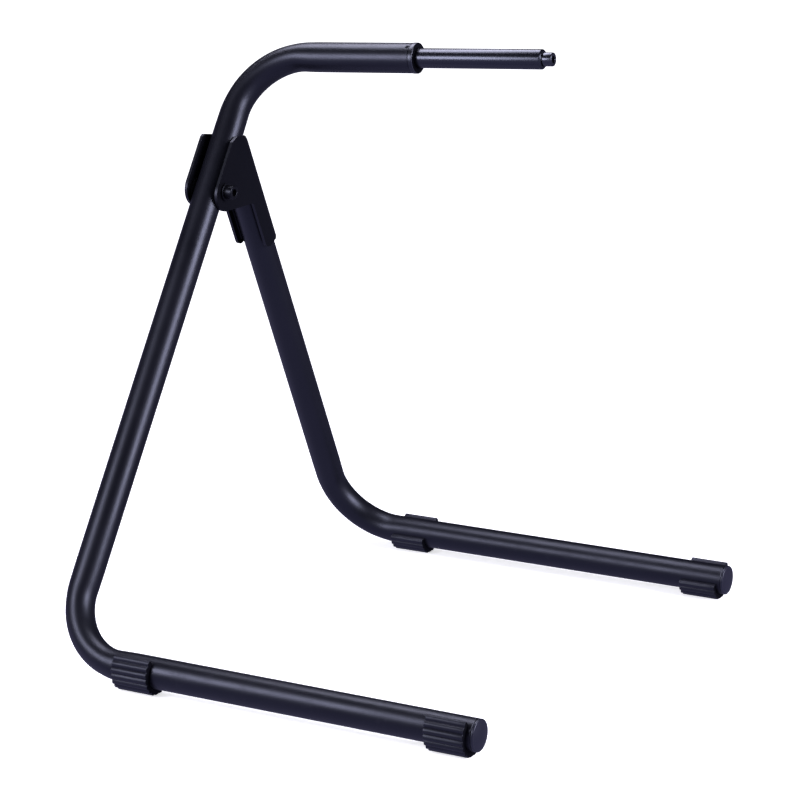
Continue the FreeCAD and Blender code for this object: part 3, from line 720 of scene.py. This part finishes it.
def end_cap(name, foot, corner, body, node):
    """Plug with a domed head, and a fine gap between the head and the tube's end."""
    stem = TUBE - WALL
    neck = foot + CAP_GAP
    bottom = foot - CAP_FLOOR
    corners = [
        (foot - CAP_STEM, CAP_HOLLOW, 0.3), (foot - CAP_STEM, stem, 0.3), (neck, stem, 0),
        (neck, TUBE - CAP_CHAMFER, 0.15), (neck + CAP_CHAMFER, TUBE, 0.25),
        (foot + CAP_SIDE, TUBE, 0.8)]
    for ring in range(CAP_RINGS + 1):
        share = 1 - ring / CAP_RINGS
        rounding = 0 if ring else 0.2
        corners.append((foot + CAP_HEAD - CAP_DOME * share ** 2, CAP_FACE * share, rounding))
    profile = on_axis(rounded(corners, closed=False))
    build(name, lathe([(bottom, 0), (bottom, CAP_HOLLOW)] + profile, segments=96),
          corner, body, [node], "cap_plastic", sharp=40.0)


def feet():
    """Two pads and a cap on each foot."""
    for side, corner, tilt, foot in (("main", MAIN_CORNER, MAIN_LEAN, MAIN_FOOT),
                                     ("side", SIDE_CORNER, -SIDE_LEAN, SIDE_FOOT)):
        word = side.capitalize()
        body = f"{side}_frame"
        outer = foot - PAD_INSET - PAD_LENGTH
        foot_pad(f"{word}_inner_pad", corner, tilt, PAD_START, body, f"{side}_inner_pad")
        foot_pad(f"{word}_outer_pad", corner, tilt, outer, body, f"{side}_outer_pad")
        end_cap(f"{word}_foot_cap", foot, corner, body, f"{side}_foot_cap")


# Arm end and spindle.


def socket(face, flats, depth):
    """Rings of a hexagon socket sunk into a face, from its rim to the drill point."""
    lip = 0.25
    drill = 0.42 * flats
    point = 0.8
    return [(face, flats / 2 / math.cos(math.pi / 6) + lip), (face - lip, hexagon(flats)),
            (face - depth, hexagon(flats)), (face - depth, drill), (face - depth - point, 0)]


def socket_screw(name, corners, size, place, body, node, slot):
    """Screw from the middle of its tip, through corners, to the socket in its head."""
    profile = on_axis(rounded(corners, ROUND_STEPS, closed=False))
    mesh = lathe([(corners[0][0], 0)] + profile + socket(corners[-1][0], *size))
    build(name, mesh, place, body, [node], slot, sharp=40.0)


def arm_bush():
    """Flanged bush, with a dull outer face in painted shade and a painted highlight on its rim.
    """
    face = ARM_TUBE + FLANGE
    back = ARM_TUBE + FLANGE_GAP
    end = ARM_TUBE - BUSH_STEM
    stem = TUBE - WALL
    bush = spun("Arm_bush", [
        (end, JOURNAL + FIT, 0.3), (face, JOURNAL + FIT, 0.35), (face, FLANGE_RADIUS, 0.5),
        (back, FLANGE_RADIUS, 0.3), (back, stem, 0), (end, stem, 0.3)],
        ARM, "main_frame", "arm_bush", "bush_plastic")
    along = ARM.to_3x3() @ Vector((1, 0, 0))
    # The outer face gets the darker copy of the nylon: painted shade.
    face_ends(bush, along, "bush_face_shade")
    # Faces near the outside that look towards the free end get the lighter copy: a painted
    # highlight.
    bush.data.materials.append(FINISH["bush_rim_highlight"])
    for side in bush.data.polygons:
        offset = side.center - ARM.translation * MM
        reach = (offset - along * offset.dot(along)).length
        slope = side.normal.dot(along)
        if HIGHLIGHT_RIM_SLOPE < slope <= FLAT_END and reach > (TUBE - HIGHLIGHT_RIM_WIDTH) * MM:
            side.material_index = 2


def bush_screw():
    """Grub screw, sunk a little below the arm's surface."""
    top = TUBE - SCREW_SUNK
    radius = SCREW_RADIUS - SCREW_PLAY
    profile = [(SCREW_TIP, 0), (SCREW_TIP, 1.0), (SCREW_TIP + 0.3, radius),
               (top - 0.25, radius), (top, SCREW_RADIUS - 0.25)]
    profile += socket(top, SCREW_SOCKET, SCREW_SOCKET)
    build("Bush_screw", lathe(profile, SCREW_SEGMENTS), SCREW,
          "main_frame", ["bush_screw"], "black_steel")


def spindle():
    """Crank sleeve, and the long screw that it turns on."""
    spun("Spindle_sleeve", [
        (SLEEVE_START, SLEEVE_BORE, 0.3), (SLEEVE_END, SLEEVE_BORE, 0.3),
        (SLEEVE_END, SLEEVE - SLEEVE_CHAMFER, 0.3), (SLEEVE_END - SLEEVE_CHAMFER, SLEEVE, 0.4),
        (JOURNAL_END, SLEEVE, 0.1), (JOURNAL_END, JOURNAL, 0), (SLEEVE_START, JOURNAL, 0.5)],
        ARM, "crank_sleeve", "spindle_sleeve", "spindle_finish")
    socket_screw("Spindle_screw", [
        (SHANK_START, SHANK - SHANK_CHAMFER, 0), (SHANK_START + SHANK_CHAMFER, SHANK, 0),
        (HEAD_START, SHANK, 0), (HEAD_START, HEAD, 0.3), (HEAD_END, HEAD, 0.75),
        (HEAD_END, HEAD - 1.0, 0)],
        HEAD_SOCKET, ARM, "main_frame", "spindle_screw", "spindle_steel")


# Pivot.


def pivot_parts():
    """Bolt through the bracket, with its washer and thin nut."""
    face = GAP_HALF + SHEET
    seat = face + WASHER
    top = seat + BOLT_RISE
    tail = face + NUT_HEIGHT + BOLT_TAIL
    hole = BOLT + HOLE_PLAY
    socket_screw("Pivot_bolt", [
        (-tail, BOLT - BOLT_CHAMFER, 0), (-tail + BOLT_CHAMFER, BOLT, 0), (seat, BOLT, 0),
        (seat, BOLT_HEAD, 0.25), (top, BOLT_HEAD, 0.8), (top, BOLT_HEAD - 1.3, 0)],
        BOLT_SOCKET, PIVOT, "side_frame", "pivot_bolt", "black_steel")
    spun("Bolt_washer", [
        (face, hole, 0.2), (seat, hole, 0.2), (seat, WASHER_RADIUS, 0.3),
        (face, WASHER_RADIUS, 0.3)], PIVOT, "side_frame", "bolt_washer", "black_steel")

    flat = hexagon(NUT_FLATS)

    def bevelled(radius):
        return lambda angle: min(flat(angle), radius)

    # Rings of (height, radius); the hexagon's corners are turned down towards both faces.
    nut = lathe([
        (0.0, BOLT), (0.0, bevelled(5.2)), (0.25, bevelled(5.9)),
        (NUT_HEIGHT - 0.75, bevelled(5.9)), (NUT_HEIGHT - 0.35, bevelled(5.45)),
        (NUT_HEIGHT, bevelled(4.95)), (NUT_HEIGHT, BOLT + 0.4), (NUT_HEIGHT - 0.4, BOLT)],
        closed=True)
    build("Pivot_nut", nut, PIVOT @ shift(x=-face) @ turn(180, "Z"),
          "side_frame", ["pivot_nut"], "black_steel", sharp=28.0)


# Hinge bracket.


def pivot_on_side_leg():
    """The pivot, seen along the bolt, in the side leg's frame."""
    spot = SIDE.inverted() @ PIVOT.to_translation()
    return Vector((spot.y, spot.z))


def unrolled(outwards, along):
    """Point of the flat sheet: (distance from the wrap's middle, along).

    Outwards is how far the point is past the side leg's axis, towards the wrap; on the cheeks
    it is negative.
    """
    if outwards <= 0:
        return QUARTER - outwards, along
    return MIDDLE * math.acos(min(outwards / MIDDLE, 1.0)), along


def rolled(spot):
    """Point of the flat sheet, bent round the side leg."""
    side = math.copysign(1, spot.x)
    round_sheet = abs(spot.x)
    if round_sheet > QUARTER:
        return Vector((side * MIDDLE, QUARTER - round_sheet, spot.y))
    angle = round_sheet / MIDDLE
    return Vector((side * MIDDLE * math.sin(angle), MIDDLE * math.cos(angle), spot.y))


def half_outline(lift, top_start):
    """Flat outline of half the bracket, from the wrap's low middle round the cheek to its top."""
    pivot = pivot_on_side_leg()
    opening = math.radians(MAIN_LEAN + SIDE_LEAN)
    leg_way = Vector((math.sin(opening), math.cos(opening)))
    leg_side = Vector((-math.cos(opening), math.sin(opening)))

    step = Vector((-CHEEK_EDGE, BRACKET_STEP + lift))
    centre = pivot + Vector((0, lift))
    to_centre = centre - step
    heading = math.atan2(to_centre.y, to_centre.x) + math.asin(BOSS / to_centre.length)
    first = Vector((-math.sin(heading), math.cos(heading))) * BOSS
    sweep = math.atan2(first.y, first.x) - math.atan2(leg_side.y, leg_side.x)
    sweep = -(sweep % (2 * math.pi))
    boss = [centre + Matrix.Rotation(sweep * number / BOSS_STEPS, 2) @ first
            for number in range(BOSS_STEPS + 1)]
    free_top = centre + leg_side * BOSS + leg_way * CHEEK_TOP

    stop = pivot - leg_side * (TUBE + STOP_GAP)
    outer = GAP_HALF + SHEET + OVERCUT

    def top_height(outwards):
        return TOP_SIDE + (TOP_BACK - TOP_SIDE) * outwards / outer

    def stop_height(outwards):
        return stop.y + (outwards - stop.x) * leg_way.y / leg_way.x

    def corner(outwards, along, rounding=0):
        return (*unrolled(outwards, along), rounding)

    notch = math.sqrt(MIDDLE ** 2 - GAP_HALF ** 2)
    notch_end = notch + NOTCH_WIDTH
    corners = [corner(MIDDLE, BRACKET_LOW), corner(-CHEEK_EDGE, BRACKET_LOW, LOW_ROUND),
               corner(*step, STEP_ROUND)]
    corners += [corner(*spot) for spot in boss]
    corners += [corner(*free_top, TOP_ROUND), corner(-top_start, free_top.y, NECK_ROUND)]
    corners += [corner(out, top_height(out)) for out in TOP_SAMPLES]
    corners += [corner(notch, top_height(notch), NOTCH_ROUND),
                corner(notch_end, stop_height(notch_end), NOTCH_ROUND)]
    corners += [corner(out, min(top_height(out), stop_height(out))) for out in WRAP_SAMPLES]
    return rounded(corners, 8, closed=False)


def hinge_bracket():
    """One sheet, cut flat, wrapped round the side leg and thickened, with softened edges."""
    right = half_outline(RIGHT_LIFT, RIGHT_TOP)[1:-1]
    left = half_outline(LEFT_LIFT, LEFT_TOP)[1:-1]
    outline = right + [Vector((-spot.x, spot.y)) for spot in reversed(left)]
    bm = bmesh.new()
    bm.faces.new([bm.verts.new((spot.x, spot.y, 0)) for spot in outline])
    for number in range(-BEND_CUTS, BEND_CUTS + 1):
        bmesh.ops.bisect_plane(bm, geom=bm.verts[:] + bm.edges[:] + bm.faces[:], dist=1e-5,
                               plane_co=(QUARTER * number / BEND_CUTS, 0, 0),
                               plane_no=(1, 0, 0))
    for corner in bm.verts:
        corner.co = rolled(corner.co)
    bracket = build("Hinge_bracket", bm, SIDE, "side_frame", ["hinge_bracket"],
                    "bracket_paint", sharp=60.0)
    # Second material, for the rounded edges: the painted highlight.
    bracket.data.materials.append(FINISH["bracket_edge_highlight"])
    # Third material, for the cut rims: the faint painted highlight.
    bracket.data.materials.append(FINISH["bracket_rim_highlight"])

    thick = bracket.modifiers.new("Thickness", "SOLIDIFY")
    thick.thickness = SHEET * MM
    thick.offset = 0.0
    # The rims take the third material, the faint painted highlight.
    thick.material_offset_rim = 2
    hole = add_object("cutter", rod(-CUTTER_REACH, CUTTER_REACH, BOLT + HOLE_PLAY), PIVOT)
    cut(bracket, hole)
    edges = bracket.modifiers.new("Edges", "BEVEL")
    edges.width = SHEET_EDGE * MM
    edges.segments = 3
    # The bevel's faces take the second material, the painted highlight.
    edges.material = 1
    edges.limit_method = "ANGLE"
    edges.angle_limit = math.radians(50)
    edges.miter_outer = "MITER_ARC"
    normals = bracket.modifiers.new("Normals", "WEIGHTED_NORMAL")
    normals.keep_sharp = False
    finish_mesh(bracket, [hole])


# Welds.


def bead(bm, points, radius):
    """Weld bead along points: overlapping puddles, each a little crest across the bead."""
    length = 0.0
    rings = []
    last = len(points) - 1
    for number, spot in enumerate(points):
        if number:
            length += (spot - points[number - 1]).length
        ripple = 1.0 - WELD_RIPPLE * (1 - abs(math.sin(math.pi * length / WELD_PITCH)))
        end = min(min(number, last - number) / WELD_TAPER, 1.0)
        reach = radius * ripple * math.sqrt(1 - (1 - end) ** 2)
        if reach < TINY:
            rings.append([bm.verts.new(spot)] * WELD_SEGMENTS)
            continue
        way = (points[min(number + 1, last)] - points[max(number - 1, 0)]).normalized()
        across = way.orthogonal().normalized()
        other = way.cross(across)
        angles = [2 * math.pi * k / WELD_SEGMENTS for k in range(WELD_SEGMENTS)]
        rings.append([bm.verts.new(spot + (across * math.cos(a) + other * math.sin(a)) * reach)
                      for a in angles])
    for one, two in zip(rings, rings[1:]):
        bridge(bm, one, two)


def bracket_welds():
    """A bead under the wrap, and one inside each cheek, where it parts from the tube."""
    bm = bmesh.new()
    steps = range(WELD_STEPS + 1)
    radius = (TUBE + GAP_HALF + SHEET - LOW_WELD_SINK) / 2
    arc = [math.radians(-LOW_WELD_HALF + 2 * LOW_WELD_HALF * step / WELD_STEPS) for step in steps]
    low = BRACKET_LOW - LOW_WELD_DROP
    bead(bm, [Vector((radius * math.sin(a), radius * math.cos(a), low)) for a in arc], LOW_WELD)
    length = BRACKET_STEP + RIGHT_LIFT - BRACKET_LOW - 2 * SIDE_WELD_INSET
    for side in (1, -1):
        bead(bm, [Vector((side * (TUBE - SIDE_WELD_SINK), -SIDE_WELD_BACK,
                          BRACKET_LOW + SIDE_WELD_INSET + length * step / WELD_STEPS))
                  for step in steps], SIDE_WELD)
    build("Bracket_welds", bm, SIDE, "side_frame", ["bracket_welds"], "bracket_paint",
          sharp=60.0)


def hidden_parts():
    """Finishes for the CAD nodes that stay, because they hardly show."""
    for node, slot in (("pivot_sleeve", "spindle_steel"), ("pivot_spacers", "spacer_nylon"),
                       ("spindle_anchor", "spindle_steel")):
        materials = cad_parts[node].data.materials
        for number in range(len(materials)):
            materials[number] = FINISH[slot]


# Studio, in metres.

FLOOR_REACH = 30.0
FLOOR_TONES = [(0.0, (0.93, 0.93, 0.93)), (1.0, (0.95, 0.95, 0.95))]
FLOOR_GLOW = (0.66, 1.1, 0.45, 1.6)  # strength near and far, and those two distances
WHITE = (1.0, 1.0, 1.0)
AMBIENT = (0.3, 0.3, 0.36)
SKY_TINT = (0.98, 0.94, 1.66)
SKY_STOPS = [(0.25, 0.44), (0.45, 0.37), (0.66, 0.010)]  # height from 0 to 1, brightness
SKY_FADE = (1.0, 0.3, -0.3, 0.9)  # brightness in front and behind, and those two Ys
LAMP_COLOUR = (0.845, 0.833, 1.0)
LAMP_AIM = (0.0, 0.0, 0.23)
LAMPS = [  # name, place, width, height, watts
    ("Front_left_softbox", (-0.61, -0.98, 0.62), 0.49, 0.49, 11.9),
    ("Right_softbox", (1.61, 0.17, 0.84), 0.88, 0.83, 45.1),
    ("Overhead_softbox", (-0.31, 0.23, 0.95), 0.52, 0.35, 5.4),
]
LENS = 125.6
SENSOR = 36.0
CAMERA_PLACE = (0.95922, -1.70798, 0.64948)
CAMERA_WAY = (-0.474887, 0.848219, -0.234536)


def pale_floor():
    """Pale floor that glows more with distance, so that it fades into the white behind."""
    mesh = bpy.data.meshes.new("Floor")
    corners = [(-1, -1), (1, -1), (1, 1), (-1, 1)]
    mesh.from_pydata([(x * FLOOR_REACH, y * FLOOR_REACH, 0) for x, y in corners], [],
                     [(0, 1, 2, 3)])
    floor = bpy.data.objects.new("Floor", mesh)
    bpy.context.scene.collection.objects.link(floor)
    material, n = new_material("Pale_floor", Roughness=0.9, Specular_IOR_Level=0.0,
                               Emission_Color=(*WHITE, 1.0))
    n.join(n.ramp(n.noise(0.6, 2.0), FLOOR_TONES), n.shader.inputs["Base Color"])
    distance = n.add("ShaderNodeVectorMath", operation="LENGTH")
    n.join(n.where, distance.inputs[0])
    glow = n.span(distance.outputs["Value"], *FLOOR_GLOW)
    n.join(glow, n.shader.inputs["Emission Strength"])
    mesh.materials.append(material)
    floor.visible_glossy = False
    floor.visible_diffuse = False


def sky():
    """White to the camera; in reflections, brighter low down and in front."""
    world = bpy.data.worlds.new("Studio")
    bpy.context.scene.world = world
    n = Nodes(world, "Background", "Generated")
    rays = n.add("ShaderNodeLightPath").outputs
    way = n.split()
    stops = [(spot, tuple(value * tint for tint in SKY_TINT)) for spot, value in SKY_STOPS]
    faded = n.add("ShaderNodeVectorMath", operation="SCALE")
    n.join(n.ramp(n.span(way["Z"], 0.0, 1.0, -1.0, 1.0), stops), faded.inputs[0])
    n.join(n.span(way["Y"], *SKY_FADE), faded.inputs["Scale"])
    shade = n.blend(rays["Is Glossy Ray"], AMBIENT, faded.outputs["Vector"])
    n.join(n.blend(rays["Is Camera Ray"], shade, WHITE), n.shader.inputs["Color"])
    n.shader.inputs["Strength"].default_value = 1.0


def aim(item, place, way):
    """Put a lamp or a camera at a place, looking along way."""
    item.location = place
    item.rotation_mode = "QUATERNION"
    item.rotation_quaternion = Vector(way).to_track_quat("-Z", "Y")
    bpy.context.scene.collection.objects.link(item)


def lights():
    """Three softboxes that the camera doesn't see."""
    for name, place, width, height, power in LAMPS:
        data = bpy.data.lights.new(name, "AREA")
        data.shape = "RECTANGLE"
        data.size = width
        data.size_y = height
        data.energy = power
        data.color = LAMP_COLOUR
        lamp = bpy.data.objects.new(name, data)
        lamp.visible_camera = False
        aim(lamp, place, Vector(LAMP_AIM) - Vector(place))


def camera():
    """Long lens, from the front right and a little above."""
    data = bpy.data.cameras.new("Camera")
    data.lens = LENS
    data.sensor_width = SENSOR
    view = bpy.data.objects.new("Camera", data)
    aim(view, CAMERA_PLACE, CAMERA_WAY)
    bpy.context.scene.camera = view


frame_tubes()
feet()
arm_bush()
bush_screw()
spindle()
pivot_parts()
hinge_bracket()
bracket_welds()
hidden_parts()
bpy.context.scene.view_settings.view_transform = "Standard"
pale_floor()
sky()
lights()
camera()
